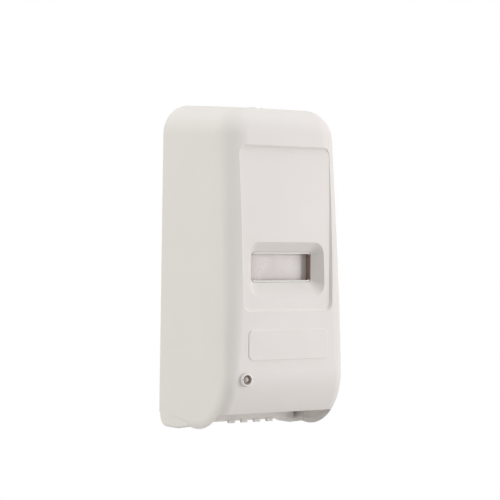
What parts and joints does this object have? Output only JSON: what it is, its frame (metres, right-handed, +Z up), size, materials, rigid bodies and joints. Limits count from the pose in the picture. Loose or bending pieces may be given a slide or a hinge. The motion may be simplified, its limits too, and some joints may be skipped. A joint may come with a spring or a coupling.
{
  "type": "wall mounted soap dispenser",
  "caption": "Tall round-cornered white wall dispenser for liquid soap, hinged front cover with window, inner bottle, roller pump, batteries and hand sensor.",
  "frame": {"origin": "centre of the four wall screws, on the wall plane", "axes": "+X to the right seen from the front, -Y out of the wall towards the user, +Z up"},
  "size_m": [0.1214, 0.1137, 0.2797],
  "materials": {
    "cover_white": "satin warm white ABS",
    "window_frame": "dark grey",
    "window_smoke": "smoked clear plastic",
    "steel": "zinc plated",
    "bezel_white": "gloss white",
    "light_grey": "translucent grey dome",
    "lock_chrome": "satin chrome",
    "base_white": "fine texture",
    "black_plastic": "moulded",
    "pump_grey": "moulded",
    "clear_cover": "clear plastic",
    "gear_nylon": "natural nylon",
    "roller_white": "acetal",
    "silicone": "translucent silicone",
    "motor_can": "nickel plated",
    "brass": "machined",
    "ir_black": "infrared-pass plastic",
    "board_green": "solder mask",
    "switch_red": "gloss",
    "cell_sleeve": "printed sleeve left plain",
    "contact_nickel": "nickel plated",
    "bottle_clear": "translucent polyethylene",
    "cap_blue": "ribbed cap"
  },
  "bodies": {
    "root": {"back_plate": "base_white", "battery_box": "base_white", "battery_cells": "cell_sleeve", "battery_contacts": "contact_nickel", "battery_springs": "contact_nickel", "bottle_dock": "base_white", "compound_axle": "steel", "control_board": "board_green", "gear_case": "base_white", "hinge_pins": "steel", "intake_socket": "gear_nylon", "ir_emitter": "ir_black", "ir_receiver": "ir_black", "latch_striker": "steel", "lower_housing": "base_white", "motor": "motor_can", "motor_plate": "black_plastic", "nozzle": "black_plastic", "nozzle_tip": "silicone", "pump_cover": "clear_cover", "pump_head": "pump_grey", "pump_plate": "black_plastic", "pump_screws": "steel", "pump_tube": "silicone", "sensor_board": "board_green", "sensor_windows": "ir_black", "switch_housing": "black_plastic", "under_panel": "base_white"},
    "cover": {"front_cover": "cover_white", "window_frame": "window_frame", "window_lens": "window_smoke", "window_screws": "steel", "indicator_bezel": "bezel_white", "indicator_light": "light_grey", "lock_barrel": "lock_chrome", "lock_nut": "steel"},
    "lock": {"lock_plug": "lock_chrome", "lock_cam": "lock_chrome", "cam_screw": "steel"},
    "bottle": {"bottle": "bottle_clear", "spout_seal": "silicone"},
    "cap": {"bottle_cap": "cap_blue", "cap_seal": "silicone"},
    "battery_door": {"battery_door": "base_white"},
    "rotor": {"rotor_shaft": "steel", "rotor_gear": "gear_nylon", "rotor_carrier": "black_plastic", "roller_pins": "steel"},
    "roller_1": {"roller_1": "roller_white"},
    "roller_2": {"roller_2": "roller_white"},
    "roller_3": {"roller_3": "roller_white"},
    "compound": {"compound_wheel": "gear_nylon", "compound_pinion": "gear_nylon"},
    "motor_shaft": {"motor_pinion": "brass"},
    "switch": {"switch_slider": "switch_red"}
  },
  "joints": [
    {"name": "cover_hinge", "type": "hinge", "parent": "root", "child": "cover", "pos_m": [0, -0.012, -0.143], "axis": [1, 0, 0], "range_deg": [0, 80]},
    {"name": "lock_turn", "type": "hinge", "parent": "cover", "child": "lock", "pos_m": [0, -0.05, 0.115], "axis": [0, 0, 1], "range_deg": [0, 90]},
    {"name": "bottle_lift", "type": "slide", "parent": "root", "child": "bottle", "axis": [0, 0, 1], "range_m": [0, 0.008]},
    {"name": "cap_turn", "type": "hinge", "parent": "bottle", "child": "cap", "pos_m": [-0.028, -0.06, 0.09], "axis": [0, 0, 1], "range_deg": [0, 90]},
    {"name": "battery_door_slide", "type": "slide", "parent": "root", "child": "battery_door", "axis": [0, 0, 1], "range_m": [0, 0.008]},
    {"name": "rotor_spin", "type": "hinge", "parent": "root", "child": "rotor", "pos_m": [-0.014, -0.0735, -0.092], "axis": [0, 1, 0], "continuous": true},
    {"name": "compound_spin", "type": "hinge", "parent": "root", "child": "compound", "pos_m": [0.0056, -0.0735, -0.092], "axis": [0, 1, 0], "continuous": true},
    {"name": "motor_spin", "type": "hinge", "parent": "root", "child": "motor_shaft", "pos_m": [0.02257, -0.0735, -0.1018], "axis": [0, 1, 0], "continuous": true},
    {"name": "switch_slide", "type": "slide", "parent": "root", "child": "switch", "axis": [0, 0, 1], "range_m": [0, 0.003]},
    {"name": "roller_1_spin", "type": "hinge", "parent": "rotor", "child": "roller_1", "pos_m": [-0.014, -0.0735, -0.08], "axis": [0, 1, 0], "continuous": true},
    {"name": "roller_2_spin", "type": "hinge", "parent": "rotor", "child": "roller_2", "pos_m": [-0.02439, -0.0735, -0.098], "axis": [0, 1, 0], "continuous": true},
    {"name": "roller_3_spin", "type": "hinge", "parent": "rotor", "child": "roller_3", "pos_m": [-0.00361, -0.0735, -0.098], "axis": [0, 1, 0], "continuous": true}
  ],
  "couplings": [
    {"joint": "compound_spin", "follows": "rotor_spin", "ratio": -3},
    {"joint": "motor_spin", "follows": "rotor_spin", "ratio": 9},
    {"joint": "roller_1_spin", "follows": "rotor_spin", "ratio": -4},
    {"joint": "roller_2_spin", "follows": "rotor_spin", "ratio": -4},
    {"joint": "roller_3_spin", "follows": "rotor_spin", "ratio": -4}
  ]
}
